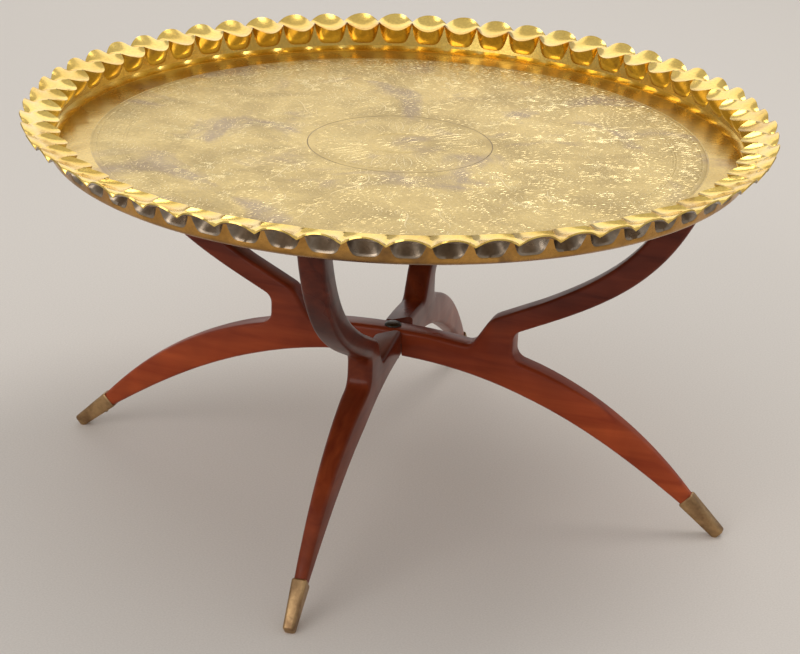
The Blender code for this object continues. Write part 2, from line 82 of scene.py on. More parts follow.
PLACE_WOBBLE = (-0.05, 0.05)        # sideways unevenness, in petals
COVE_ROWS, BAND_ROWS, SCOOP_ROWS, BED_ROWS = 6, 4, 8, 9
TRAY_SHARP = 38.0                   # edges sharper than this many degrees stay sharp
FIELD, GOLD, UNDER, SCOOP, MARGIN, GROOVE = range(6)    # the tray's materials

# Chasing on the tray's floor
FIELD_RADIUS = 311.0 * MM
RING_RADII = [30.0, 33.0, 86.0, 94.0, 277.0, 280.0, 306.0, 311.0]    # in mm
DARK_RING = 94.0                    # the medallion's ring, with a tarnished line
PLAIN_BAND = (86.0 * MM, 97.0 * MM)    # left unchased round the medallion
RING_HALF_WIDTH = 1.0 * MM
RING_PROFILE = (                    # across a ring, in half widths and depths; the ends keep the floor flat
    (-1.4, 0.0), (-1.0, 0.0), (-0.55, 1.0), (0.55, 1.0), (1.0, 0.0), (1.4, 0.0))
RING_LINE = 2                       # the strip of the profile that is its bottom
RING_DEPTH = 0.14 * MM
STEM_WIDTH = 1.9 * MM
STEM_RISE = 0.22 * MM
LINE_WIDTH = 1.3 * MM
LINE_RISE = 0.17 * MM
STROKE_ROOT = -0.1 * MM             # a stroke's edges lie this far in the floor
STROKE_TIP = 0.15                   # size of a stroke's ends, as a share of its middle
STROKE_CELL = 1.6 * MM              # the floor is marked as taken in squares of this size
CHASING_SEED = 23
EYE_RADIUS = 26.0 * MM              # rosette in the very middle
EYE_PETALS = 12
MEDALLION_LEAVES = 16
MEDALLION_ROOT = 36.0 * MM
MEDALLION_LEAF = (48.0 * MM, 15.0 * MM)    # length and width
MEDALLION_VEINS = 4
SPRAY_RINGS = (                     # sprays, radius, length, lean, and the first one's place in sprays
    (12, 102.0 * MM, 82.0 * MM, 0.0, 0.0),
    (22, 196.0 * MM, 62.0 * MM, 0.4, 0.5))
BORDER_INNER = 281.5 * MM
BORDER_OUTER = 304.5 * MM
BORDER_LEAVES = 60
COMMA_WIDTH = 1.25 * MM
COMMA_LENGTH = 7.0 * MM
COMMA_SPREAD = (0.7, 1.2)           # shortest and longest, as shares of the length
COMMA_BEND = 0.6
COMMA_STEPS = 4
COMMA_PITCH = (3.1 * MM, 5.2 * MM)     # between rows and along a row
COMMA_SHIFT = 0.3                   # unevenness of a row, as a share of the pitch
COMMA_TURN = 0.35                   # unevenness of the headings
FROND_ACROSS = (2.4, 19.0, 1.3, 31.0)    # swing, its wave in mm, sway and its wave in mm
FROND_ALONG = (2.0, 17.0, 1.0, 27.0)

# Chased figures, as shares of a figure's own length, width or radius
LEAF_STEPS = 8
LEAF_FULLNESS = 0.8                 # the lower, the blunter a leaf
MIDRIB_STEPS = 5
MIDRIB_LENGTH = 0.85
VEIN_STEPS = 3
VEIN_FIRST = 0.2                    # where the first vein leaves the midrib
VEIN_SPAN = 0.55                    # the stretch of midrib with veins
VEIN_ALONG = 0.16
VEIN_ACROSS = 0.32
CURL_STEPS = 16
CURL_SHRINK = 0.85
FAN_STEPS = 5
FAN_ROOT = 0.3
FAN_DROOP = 0.25                    # how much shorter the outer blades are
ROSETTE_ROOT = 0.3
ROSETTE_PETAL = (0.7, 0.42)         # length and width
ROSETTE_EYE = 0.28
ROSETTE_EYE_STEPS = 13
SPRAY_STEPS = 18
SPRAY_SWAY = 0.12
SPRAY_WAVES = 0.8
SPRAY_LEAVES = 6
SPRAY_LEAF_PITCH = 2                # in steps of the stem
SPRAY_LEAF_LEAN = (0.6, 0.9)        # least and greatest angle from the stem
SPRAY_LEAF_SIZE = (0.22, 0.30)
SPRAY_LEAF_SHRINK = 0.05            # from one leaf to the next
SPRAY_LEAF_WIDTH = 0.42
SPRAY_LEAF_VEINS = 3
SPRAY_CURL = 0.075
SPRAY_CURL_TURNS = 1.2
SPRAY_CURL_LEAN = 0.5
SPRAY_FAN = 0.26
SPRAY_FAN_BLADES = 5
SPRAY_FAN_SPREAD = 2.2
SPRAY_ROSETTE = 0.16                # between two sprays
SPRAY_ROSETTE_PETALS = 7
SPRAY_ROSETTE_PLACE = 0.75
BORDER_LEAF = (0.86, 0.5)           # length and width
BORDER_LEAF_ROOT = 0.07
BORDER_LEAF_VEINS = 2
BORDER_CURL = 0.2
BORDER_CURL_TURNS = 0.9

# Stand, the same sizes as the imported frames
BOARD = 26.0 * MM
BEAM_HEIGHT = 29.0 * MM
BEAM_CENTRE_HEIGHT = 161.5 * MM
OPEN_ANGLE = math.radians(94.0)     # right leg round to back leg at rest, the open stop
FOLDED_ANGLE = math.radians(45.0)
EDGE_ROUND = 4.5 * MM
EDGE_STEPS = 4
ROUNDED_ANGLE = 40.0                # edges sharper than this many degrees are rounded
BOARD_SHARP = 30.0
CAP_SHARP = 35.0
SEAT_GAP = 0.3 * MM
LEG_SLOPE = math.radians(42.0)
FOOT_END = Vector((361.5 * MM, 2.0 * MM))
LEG_HANDLE = 130.0 * MM
LEG_BELLY = 46.0 * MM
TAPER_START = 150.0 * MM
ARM_ROOT = Vector((140.0 * MM, 206.0 * MM))
ARM_ROOT_SLOPE = math.radians(27.0)
ARM_TIP = Vector((309.0 * MM, TRAY_FOOT - SEAT_GAP))
ARM_TIP_SLOPE = math.radians(72.0)
ARM_ROOT_HANDLE = 90.0 * MM
ARM_TIP_HANDLE = 100.0 * MM
ARM_ROOT_WIDTH = 21.0 * MM
ARM_TIP_WIDTH = 30.0 * MM
ARM_CURVE_START = 0.1               # shares of the arm's curve; its ends are drawn as corners
ARM_CURVE_END = 0.92
ARM_ROOT_STEP = 1.0 / 9             # gives the direction of the arm's root
NECK_FOOT_REACH = 88.0 * MM
NECK_FOOT_RADIUS = 12.0 * MM
NECK_TOP_REACH = 108.0 * MM
NECK_TOP_DROP = 12.0 * MM
NECK_TOP_RADIUS = 24.0 * MM
CROTCH_REACH = 133.0 * MM
CROTCH_RADIUS = 13.0 * MM
CURVE_STEPS = 30
UNDERSIDE_STEPS = 45
CORNER_STEPS = 8
HALVINGS = 40
PLANE_MARGIN = 1e-6
SABOT_LENGTH = 52.0 * MM
SABOT_TOP = (18.5 * MM, 15.5 * MM)      # width and thickness at the mouth
SABOT_END = (13.5 * MM, 11.0 * MM)
SABOT_WALL = 1.0 * MM
SABOT_END_WALL = 6.0 * MM
SABOT_ROUND = 3.0 * MM
SABOT_STEPS = 5
POCKET_STEPS = 4
NOTCH_GAP = 0.5 * MM
BOLT_RADIUS = 4.0 * MM
BORE_SIDES = 24
CUT_MARGIN = 5.0 * MM

FOOT_AXIS = Vector((math.cos(LEG_SLOPE), -math.sin(LEG_SLOPE)))
FOOT_UP = Vector((math.sin(LEG_SLOPE), math.cos(LEG_SLOPE)))
ANKLE = FOOT_END - FOOT_AXIS * SABOT_LENGTH
SKIN = SABOT_WALL + SEAT_GAP

# Materials; colours are linear red, green and blue
SPECKLE_SIZE = 3.0 * MM
HAMMER_SIZE = 24.0 * MM
HAMMER_DEPTH = 1.5 * MM
BRASS_GRAIN = 2.2 * MM
STAIN_SPREAD = 1.7                  # size of the stains, in patches
WOOD_LEGS = ((0.26, 0.036, 0.011), (0.44, 0.080, 0.022))       # dark and light streaks
# the arms' colour is the same wood in painted shade: the shadow the tray casts on them
WOOD_ARMS_SHADED = ((0.085, 0.014, 0.008), (0.18, 0.034, 0.016))
WOOD_SHADE_HEIGHTS = (0.11, 0.24)         # heights where the legs' colour ends and the arms' darker colour, a painted shadow of the tray, is fully reached
WOOD_STREAKS = (6.0, 60.0, 60.0)    # to the metre, along and across the board
WOOD_PORES = (40.0, 900.0, 900.0)
WOOD_CLOUDS = 0.07
WOOD_STREAK_DEPTH = 0.6 * MM
WOOD_PORE_DEPTH = 0.2 * MM
UPPER_TONE = 1.15                   # the lower frame's wood is darker
LOWER_TONE = 0.65
STEEL_CLOUDS = 6.0 * MM
STEEL_GRAIN = 1.0 * MM
STEEL_DEPTH = 0.1 * MM

# Camera, worked out from the tray's petals and the feet
IMAGE_WIDTH = 800
FOCAL_PIXELS = 2468.8
SENSOR_WIDTH = 36.0
CAMERA_TURN = math.radians(17.963)      # camera's side of the table, from -Y
CAMERA_DISTANCE = 2.5046                # from the tray's middle, at the datum's height
CAMERA_ELEVATION = math.radians(17.167)
CAMERA_YAW = math.radians(0.173)
CAMERA_PITCH = math.radians(21.980)
CAMERA_ROLL = math.radians(-2.239)
CAMERA_DATUM = 0.4003                   # height that the camera's place is measured from

# Studio
FLOOR_HALF = 12.0
FLOOR_WEAVE = 2.0 * MM
FLOOR_COLOURS = ((0.66, 0.62, 0.58), (0.72, 0.68, 0.64))
SKY_COLOURS = ((0.40, 0.39, 0.38), (0.70, 0.69, 0.67))         # at the horizon and higher up
SKY_RISE = 0.6
SKY_STRENGTH = 0.9
LAMP_TARGET = (0.0, 0.0, 0.25)
LAMPS = (                               # name, place seen from the camera's side, width, power, colour
    ("key", (1.0, 0.9, 2.6), 1.4, 20.0, (1.0, 0.97, 0.93)),
    ("window", (-0.4, 3.6, 1.9), 3.0, 18.0, (1.0, 0.97, 0.92)),
    ("fill", (-1.6, -2.2, 1.7), 2.2, 26.0, (1.0, 0.98, 0.96)))


def cubic(start, handle_a, handle_b, end, t):
    s = 1.0 - t
    return start * s**3 + handle_a * (3 * s * s * t) + handle_b * (3 * s * t * t) + end * t**3


def cubic_slope(start, handle_a, handle_b, end, t):
    s = 1.0 - t
    slope = (handle_a - start) * (s * s)
    slope += (handle_b - handle_a) * (2 * s * t)
    slope += (end - handle_b) * (t * t)
    return slope.normalized()


def link_object(name, mesh, material=None):
    item = bpy.data.objects.new(name, mesh)
    bpy.context.scene.collection.objects.link(item)
    if material is not None:
        mesh.materials.append(material)
    return item


def from_bmesh(name, data, material=None):
    mesh = bpy.data.meshes.new(name)
    data.to_mesh(mesh)
    data.free()
    return link_object(name, mesh, material)


def shade(item, angle):
    item.data.shade_smooth()
    item.data.set_sharp_from_angle(angle=math.radians(angle))


def bake_modifiers(item, helpers=()):
    """Turns an object's modified form into its own mesh and removes the cutters."""
    graph = bpy.context.evaluated_depsgraph_get()
    mesh = bpy.data.meshes.new_from_object(item.evaluated_get(graph))
    item.modifiers.clear()
    item.data = mesh
    for helper in helpers:
        bpy.data.objects.remove(helper, do_unlink=True)


# Materials

def new_material(name):
    material = bpy.data.materials.new(name)
    material.use_nodes = True
    tree = material.node_tree
    return material, tree, tree.nodes["Principled BSDF"]


def object_space(tree, scale=(1.0, 1.0, 1.0)):
    coords = tree.nodes.new("ShaderNodeTexCoord")
    mapping = tree.nodes.new("ShaderNodeMapping")
    mapping.inputs["Scale"].default_value = scale
    tree.links.new(coords.outputs["Object"], mapping.inputs["Vector"])
    return mapping.outputs["Vector"]


def noise(tree, vector, size, detail=3.0, distortion=0.0):
    """Cloudy noise whose blotches are about size metres across."""
    node = tree.nodes.new("ShaderNodeTexNoise")
    node.inputs["Scale"].default_value = 1.0 / size
    node.inputs["Detail"].default_value = detail
    node.inputs["Distortion"].default_value = distortion
    tree.links.new(vector, node.inputs["Vector"])
    return node.outputs["Fac"]


def cells(tree, vector, size):
    node = tree.nodes.new("ShaderNodeTexVoronoi")
    node.inputs["Scale"].default_value = 1.0 / size
    tree.links.new(vector, node.inputs["Vector"])
    return node.outputs["Distance"]


def ramp(tree, value, stops):
    """Colours or grey levels along a value, as (position, colour) pairs."""
    stops = list(stops)
    node = tree.nodes.new("ShaderNodeValToRGB")
    points = node.color_ramp.elements
    while len(points) < len(stops):
        points.new(0.5)
    for point, (position, colour) in zip(points, stops):
        point.position = position
        level = colour if isinstance(colour, tuple) else (colour, colour, colour)
        point.color = (*level, 1.0)
    tree.links.new(value, node.inputs["Fac"])
    return node.outputs["Color"]


def mix(tree, share, first, second, mode="MIX"):
    node = tree.nodes.new("ShaderNodeMix")
    node.data_type = "RGBA"
    node.blend_type = mode
    for socket, value in (("Factor", share), ("A", first), ("B", second)):
        target = [s for s in node.inputs if s.name == socket and s.enabled][0]
        if isinstance(value, bpy.types.NodeSocket):
            tree.links.new(value, target)
        elif isinstance(value, tuple):
            target.default_value = (*value, 1.0)
        else:
            target.default_value = value
    return [s for s in node.outputs if s.enabled][0]


def bump(tree, shader, layers):
    """Stacks bump layers, each a height, a strength and a depth in metres."""
    normal = None
    for height, strength, depth in layers:
        node = tree.nodes.new("ShaderNodeBump")
        node.inputs["Strength"].default_value = strength
        node.inputs["Distance"].default_value = depth
        tree.links.new(height, node.inputs["Height"])
        if normal is not None:
            tree.links.new(normal, node.inputs["Normal"])
        normal = node.outputs["Normal"]
    tree.links.new(normal, shader.inputs["Normal"])


def brass(name, bright, dull, stain, patch_size, stain_share, roughness, grain_depth):
    """Worn brass: bright metal, duller clouds, stains, uneven gloss and a fine grain."""
    material, tree, shader = new_material(name)
    space = object_space(tree)
    clouds = noise(tree, space, patch_size, detail=5.0, distortion=0.6)
    spots = noise(tree, space, patch_size * STAIN_SPREAD, detail=6.0, distortion=1.2)
    fine = noise(tree, space, SPECKLE_SIZE)
    hammer = noise(tree, space, HAMMER_SIZE, detail=1.0)
    grain = cells(tree, space, BRASS_GRAIN)
    base = ramp(tree, clouds, [(0.35, dull), (0.62, bright)])
    stained = ramp(tree, spots, [(1.0 - stain_share, 0.0), (min(1.0, 1.12 - stain_share), 0.85)])
    base = mix(tree, stained, base, stain)
    speckle = ramp(tree, fine, [(0.3, 0.82), (0.7, 1.0)])
    base = mix(tree, 1.0, base, speckle, "MULTIPLY")
    tree.links.new(base, shader.inputs["Base Color"])
    low, high = roughness
    rough = ramp(tree, clouds, [(0.3, high), (0.7, low)])
    tree.links.new(rough, shader.inputs["Roughness"])
    shader.inputs["Metallic"].default_value = 1.0
    bump(tree, shader, [(hammer, 0.25, HAMMER_DEPTH), (grain, 0.5, grain_depth)])
    return material


def wood(name, seed, tone):
    """Red-brown lacquered hardwood: grain along the board, darker towards the tray, where the arms carry a
    painted shadow of the tray.
    """
    material, tree, shader = new_material(name)
    streaks = noise(tree, object_space(tree, WOOD_STREAKS), 1.0, detail=6.0, distortion=0.8 + 0.1 * seed)
    pores = noise(tree, object_space(tree, WOOD_PORES), 1.0, detail=2.0)
    clouds = noise(tree, object_space(tree), WOOD_CLOUDS, distortion=0.4)
    coords = tree.nodes.new("ShaderNodeTexCoord")
    split = tree.nodes.new("ShaderNodeSeparateXYZ")
    tree.links.new(coords.outputs["Object"], split.inputs["Vector"])
    height = split.outputs["Z"]
    legs = ramp(tree, streaks, zip((0.3, 0.7), WOOD_LEGS))
    # painted shade: the arms, high up under the tray, get a darker copy of the wood's colours
    shaded_arms = ramp(tree, streaks, zip((0.3, 0.7), WOOD_ARMS_SHADED))
    share = ramp(tree, height, zip(WOOD_SHADE_HEIGHTS, (0.0, 1.0)))
    base = mix(tree, share, legs, shaded_arms)
    mottled = ramp(tree, clouds, [(0.3, 0.68 * tone), (0.72, tone)])
    base = mix(tree, 1.0, base, mottled, "MULTIPLY")
    tree.links.new(base, shader.inputs["Base Color"])
    rough = ramp(tree, clouds, [(0.3, 0.42), (0.7, 0.26)])
    tree.links.new(rough, shader.inputs["Roughness"])
    shader.inputs["Coat Weight"].default_value = 0.12
    shader.inputs["Coat Roughness"].default_value = 0.1
    shader.inputs["Specular IOR Level"].default_value = 0.12
    bump(tree, shader, [(streaks, 0.12, WOOD_STREAK_DEPTH), (pores, 0.10, WOOD_PORE_DEPTH)])
    return material


def dark_steel(name):
    material, tree, shader = new_material(name)
    space = object_space(tree)
    clouds = noise(tree, space, STEEL_CLOUDS, detail=4.0)
    base = ramp(tree, clouds, [(0.3, (0.02, 0.018, 0.016)), (0.7, (0.075, 0.066, 0.058))])
    tree.links.new(base, shader.inputs["Base Color"])
    rough = ramp(tree, clouds, [(0.3, 0.5), (0.7, 0.3)])
    tree.links.new(rough, shader.inputs["Roughness"])
    shader.inputs["Metallic"].default_value = 1.0
    grain = noise(tree, space, STEEL_GRAIN, detail=2.0)
    bump(tree, shader, [(grain, 0.3, STEEL_DEPTH)])
    return material


# Tray

def blend_points(first, second, share):
    return first + (second - first) * share


def rim_column(phase, flare, depth):
    """Radius and height of the tray's upper surface at one place round its rim."""
    arch = 1.0 - abs(2.0 * phase) ** ARCH_ROUND
    belly = RIDGE_SHARE + (1.0 - RIDGE_SHARE) * (1.0 - (2.0 * phase) ** 2)
    valley = np.array((TRAY_RADIUS - VALLEY_INSET, FLOOR_TOP + VALLEY_RISE))
    cove = np.array((COVE_RADIUS, FLOOR_TOP + COVE_RISE))
    peak = np.array((PEAK_RADIUS, FLOOR_TOP + PEAK_RISE))
    deepest = np.array((FOLD_RADIUS - depth, FLOOR_TOP + FOLD_RISE))
    lip = valley + np.array((VALLEY_INSET + flare, ARCH_RISE - VALLEY_RISE)) * arch
    fold = blend_points(peak, deepest, belly)
    width = RIDGE_SHARE + (1.0 - RIDGE_SHARE) * (1.0 - abs(2.0 * phase) ** SCOOP_ROUND)
    crease = blend_points(cove, peak, 1.0 - (1.0 - SCOOP_FOOT) * width)
    points = []
    for step in range(COVE_ROWS):
        share = step / COVE_ROWS
        reach = FLOOR_RADIUS + (COVE_RADIUS - FLOOR_RADIUS) * share
        points.append(np.array((reach, FLOOR_TOP + COVE_RISE * share**2)))
    for step in range(BAND_ROWS):
        points.append(blend_points(cove, crease, step / BAND_ROWS))
    for step in range(SCOOP_ROWS):
        share = step / SCOOP_ROWS
        inward = np.array((-SCOOP_BULGE * belly * math.sin(math.pi * share), 0.0))
        points.append(blend_points(crease, fold, share) + inward)
    for step in range(BED_ROWS + 1):
        share = step / BED_ROWS
        sag = np.array((0.0, -BED_SAG * arch * math.sin(math.pi * share)))
        points.append(blend_points(fold, lip, share) + sag)
    return points


def floor_rows():
    """Radii and heights of the floor's rings, with a shallow groove at each chased ring."""
    rows = []
    for radius in RING_RADII:
        centre = radius * MM
        for offset, drop in RING_PROFILE:
            rows.append((centre + offset * RING_HALF_WIDTH, FLOOR_TOP - drop * RING_DEPTH))
    return rows


def tray_columns():
    """Points of the tray's upper surface, from near the middle out to the lip, all round."""
    rng = random.Random(PETAL_SEED)
    wobble = []
    for _ in range(PETAL_COUNT):
        flare = rng.uniform(*FLARE_WOBBLE) * MM
        depth = rng.uniform(*FOLD_WOBBLE) * MM
        wobble.append((flare, depth, rng.uniform(*PLACE_WOBBLE)))
    around = PETAL_COUNT * PETAL_SAMPLES
    inner = floor_rows()
    grid = []
    for step in range(around):
        petal = (step + PETAL_SAMPLES // 2) // PETAL_SAMPLES
        phase = step / PETAL_SAMPLES - petal
        flare, depth, shift = wobble[petal % PETAL_COUNT]
        angle = PETAL_TURN + 2 * math.pi * step / around
        swing = 2 * math.pi / PETAL_COUNT * shift * (1.0 - abs(2.0 * phase))
        column = []
        for radius, height in inner:
            column.append((radius * math.cos(angle), radius * math.sin(angle), height))
        rim = rim_column(phase, flare, depth)
        for row, (radius, height) in enumerate(rim):
            turned = angle + swing * row / len(rim)
            column.append((radius * math.cos(turned), radius * math.sin(turned), height))
        grid.append(column)
    return np.array(grid), len(inner)


def grid_normals(grid):
    around = np.roll(grid, -1, axis=0) - np.roll(grid, 1, axis=0)
    outward = np.gradient(grid, axis=1)
    normal = np.cross(outward, around)
    normal /= np.linalg.norm(normal, axis=2, keepdims=True)
    return normal


def row_materials(rows, inner):
    """Which brass each row of faces carries, from the middle out, above and below."""
    above = [FIELD] * (inner - 1) + [MARGIN] + [GOLD] * (rows - 1 - inner)
    above[len(RING_PROFILE) * RING_RADII.index(DARK_RING) + RING_LINE] = GROOVE
    scoop_row = inner + COVE_ROWS + BAND_ROWS
    below = [UNDER] * scoop_row + [SCOOP] * (rows - 1 - scoop_row)
    return above, below


def build_tray(materials):
    """The tray as one closed sheet, with a brass of its own on each kind of surface."""
    grid, inner = tray_columns()
    under = grid - grid_normals(grid) * SHEET
    under[:, :inner, 2] = TRAY_FOOT
    count, rows, _ = grid.shape
    above, below = row_materials(rows, inner)
    mesh = bmesh.new()
    top = [[mesh.verts.new(p) for p in column] for column in grid]
    low = [[mesh.verts.new(p) for p in column] for column in under]
    for step in range(count):
        after = (step + 1) % count
        for row in range(rows - 1):
            out = row + 1
            face = mesh.faces.new((top[step][row], top[step][out], top[after][out], top[after][row]))
            face.material_index = above[row]
            face = mesh.faces.new((low[step][row], low[after][row], low[after][out], low[step][out]))
            face.material_index = below[row]
        lip = mesh.faces.new((top[step][-1], low[step][-1], low[after][-1], top[after][-1]))
        lip.material_index = GOLD
    for ring, height, kind in ((top, FLOOR_TOP, FIELD), (low, TRAY_FOOT, UNDER)):
        centre = mesh.verts.new((0.0, 0.0, height))
        for step in range(count):
            after = (step + 1) % count
            corners = (centre, ring[step][0], ring[after][0])
            face = mesh.faces.new(corners if kind == FIELD else corners[::-1])
            face.material_index = kind
    tray = from_bmesh("tray_visual", mesh)
    for material in materials:
        tray.data.materials.append(material)
    shade(tray, TRAY_SHARP)
    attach(tray, "tray_body")
    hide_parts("tray")


# Chasing: strokes are complex numbers x + iy on the tray's floor, in metres

class Strokes:
    """Collects tapered ridge strokes and remembers which parts of the floor are taken."""

    def __init__(self):
        self.points = []
        self.faces = []
        self.taken = set()

    def cell(self, place):
        return (round(place.real / STROKE_CELL), round(place.imag / STROKE_CELL))

    def is_free(self, place):
        column, row = self.cell(place)
        return not any((column + i, row + j) in self.taken for i in (-1, 0, 1) for j in (-1, 0, 1))

    def add(self, path, width, height):
        """One stroke: a three-sided ridge along a path, thinner at its ends."""
        path = np.asarray(path)
        count = len(path)
        way = np.gradient(path)
        way = way / np.abs(way)
        share = np.linspace(0.0, 1.0, count)
        swell = STROKE_TIP + (1.0 - STROKE_TIP) * np.sin(math.pi * share) ** 0.5
        first = len(self.points)
        for place, heading, size in zip(path, way, swell):
            side = 1j * heading * width * size / 2
            ridge = ((place + side, STROKE_ROOT), (place, height * size), (place - side, STROKE_ROOT))
            for spot, rise in ridge:
                self.points.append((spot.real, spot.imag, FLOOR_TOP + rise))
            self.taken.add(self.cell(place))
        for step in range(count - 1):
            here = first + 3 * step
            there = here + 3
            for a, b in ((0, 1), (1, 2), (2, 0)):
                self.faces.append((here + a, here + b, there + b, there + a))
        self.faces.append((first + 2, first + 1, first))
        last = first + 3 * (count - 1)
        self.faces.append((last, last + 1, last + 2))

    def add_all(self, paths, origin, heading, width=LINE_WIDTH, height=LINE_RISE):
        turn = complex(math.cos(heading), math.sin(heading))
        for path in paths:
            self.add(origin + turn * np.asarray(path), width, height)


def leaf_paths(length, width, veins):
    """A pointed leaf along +x: two edges, a midrib and paired veins."""
    t = np.linspace(0.0, 1.0, LEAF_STEPS)
    edge = length * t + 1j * width / 2 * np.sin(math.pi * t) ** LEAF_FULLNESS
    midrib = np.linspace(0.0, MIDRIB_LENGTH * length, MIDRIB_STEPS) + 0j
    paths = [edge, edge.conj(), midrib]
    for index in range(veins):
        start = (VEIN_FIRST + VEIN_SPAN * index / veins) * length
        end = start + VEIN_ALONG * length + 1j * VEIN_ACROSS * width
        vein = np.linspace(start, end, VEIN_STEPS)
        paths += [vein, vein.conj()]
    return paths


def curl_path(radius, turns, hand):
    t = np.linspace(0.0, 1.0, CURL_STEPS)
    spiral = radius * (1.0 - CURL_SHRINK * t) * np.exp(1j * (2 * math.pi * turns * t - math.pi / 2))
    curl = 1j * radius + spiral
    return curl if hand > 0 else curl.conj()


def fan_paths(radius, blades, spread):
    """A fan flower: fine blades about +x."""
    paths = []
    for index in range(blades):
        angle = spread * (index / (blades - 1) - 0.5)
        turn = complex(math.cos(angle), math.sin(angle))
        length = radius * (1.0 - FAN_DROOP * abs(2 * index / (blades - 1) - 1.0))
        paths.append(turn * np.linspace(FAN_ROOT * length, length, FAN_STEPS))
    return paths


def rosette_paths(radius, petals):
    """A flower of leaf-shaped petals round a small ring."""
    length, width = ROSETTE_PETAL
    paths = []
    for index in range(petals):
        turn = np.exp(2j * math.pi * index / petals)
        edges = leaf_paths(length * radius, width * radius, 0)[:2]
        paths += [turn * (ROSETTE_ROOT * radius + edge) for edge in edges]
    ring = ROSETTE_EYE * radius * np.exp(1j * np.linspace(0.0, 2 * math.pi, ROSETTE_EYE_STEPS))
    paths.append(ring)
    return paths


def spray(strokes, origin, heading, length, hand, rng):
    """A swaying stem with leaves to either side by turns, curls and a fan flower at its end."""
    t = np.linspace(0.0, 1.0, SPRAY_STEPS)
    sway = SPRAY_SWAY * length * np.sin(2 * math.pi * SPRAY_WAVES * t) * hand
    stem = length * t + 1j * sway
    strokes.add_all([stem], origin, heading, STEM_WIDTH, STEM_RISE)
    turn = complex(math.cos(heading), math.sin(heading))
    for index in range(SPRAY_LEAVES):
        place = (index + 1) * SPRAY_LEAF_PITCH
        tangent = stem[place + 1] - stem[place]
        lean = math.atan2(tangent.imag, tangent.real)
        side = 1 if index % 2 else -1
        root = origin + turn * stem[place]
        angle = heading + lean + side * rng.uniform(*SPRAY_LEAF_LEAN)
        size = length * rng.uniform(*SPRAY_LEAF_SIZE) * (1.0 - SPRAY_LEAF_SHRINK * index)
        strokes.add_all(leaf_paths(size, SPRAY_LEAF_WIDTH * size, SPRAY_LEAF_VEINS), root, angle)
        back = heading + lean - side * SPRAY_CURL_LEAN
        strokes.add_all([curl_path(SPRAY_CURL * length, SPRAY_CURL_TURNS, -side)], root, back)
    end = origin + turn * stem[-1]
    strokes.add_all(fan_paths(SPRAY_FAN * length, SPRAY_FAN_BLADES, SPRAY_FAN_SPREAD), end, heading)


def medallion(strokes):
    """A rosette in the middle with a ring of leaves about it."""
    strokes.add_all(rosette_paths(EYE_RADIUS, EYE_PETALS), 0j, 0.0)
    length, width = MEDALLION_LEAF
    for index in range(MEDALLION_LEAVES):
        angle = 2 * math.pi * index / MEDALLION_LEAVES
        root = np.exp(1j * angle) * MEDALLION_ROOT
        strokes.add_all(leaf_paths(length, width, MEDALLION_VEINS), root, angle)


def spray_rings(strokes, rng):
    """Rings of sprays that sway by turns to either hand, with a rosette between two sprays."""
    for count, radius, length, lean, first in SPRAY_RINGS:
        petals = rosette_paths(SPRAY_ROSETTE * length, SPRAY_ROSETTE_PETALS)
        for index in range(count):
            angle = 2 * math.pi * (index + first) / count
            hand = 1 if index % 2 else -1
            spray(strokes, np.exp(1j * angle) * radius, angle + hand * lean, length, hand, rng)
            middle = angle + math.pi / count
            place = np.exp(1j * middle) * (radius + SPRAY_ROSETTE_PLACE * length)
            strokes.add_all(petals, place, middle)


def border(strokes):
    """A ring of upright leaves with pairs of curls between them."""
    depth = BORDER_OUTER - BORDER_INNER
    length, width = BORDER_LEAF
    leaf = leaf_paths(length * depth, width * depth, BORDER_LEAF_VEINS)
    curls = [curl_path(BORDER_CURL * depth, BORDER_CURL_TURNS, hand) for hand in (-1, 1)]
    for index in range(BORDER_LEAVES):
        angle = 2 * math.pi * index / BORDER_LEAVES
        strokes.add_all(leaf, np.exp(1j * angle) * (BORDER_INNER + BORDER_LEAF_ROOT * depth), angle)
        middle = angle + math.pi / BORDER_LEAVES
        strokes.add_all(curls, np.exp(1j * middle) * (BORDER_INNER + BORDER_CURL * depth), middle)


def build_chasing(material):
    """All-over chased ornament: medallion, two rings of sprays, a leaf border and fill."""
    rng = random.Random(CHASING_SEED)
    strokes = Strokes()
    medallion(strokes)
    spray_rings(strokes, rng)
    border(strokes)
    fill(strokes, rng)
    mesh = bpy.data.meshes.new("tray_chasing")
    mesh.from_pydata(strokes.points, [], strokes.faces)
    chasing = link_object("tray_chasing", mesh, material)
    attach(chasing, "tray_body")


def frond_heading(place):
    """Direction of the small strokes, which sweep round the floor like fronds."""
    x = place.real / MM
    y = place.imag / MM
    swing, wave, sway, long_wave = FROND_ACROSS
    across = swing * math.sin(x / wave + sway * math.sin(y / long_wave))
    swing, wave, sway, long_wave = FROND_ALONG
    along = swing * math.cos(y / wave + sway * math.sin(x / long_wave))
    return across + along


def fill(strokes, rng):
    """Short comma strokes wherever the ornament leaves room, from the eye's outer ring on."""
    between, along = COMMA_PITCH
    t = np.linspace(-0.5, 0.5, COMMA_STEPS)
    comma = t + 1j * COMMA_BEND * t * t
    radius = RING_RADII[1] * MM + between
    while radius < FIELD_RADIUS - between:
        count = int(2 * math.pi * radius / along)
        plain = PLAIN_BAND[0] < radius < PLAIN_BAND[1]
        for index in range(count):
            angle = 2 * math.pi * (index + rng.random()) / count
            place = np.exp(1j * angle) * (radius + rng.uniform(-COMMA_SHIFT, COMMA_SHIFT) * between)
            heading = frond_heading(place) + rng.uniform(-COMMA_TURN, COMMA_TURN)
            length = COMMA_LENGTH * rng.uniform(*COMMA_SPREAD)
            if strokes.is_free(place) and not plain:
                strokes.add_all([length * comma], place, heading, COMMA_WIDTH)
        radius += between


# Stand

def left_of(direction):
    return Vector((-direction.y, direction.x))


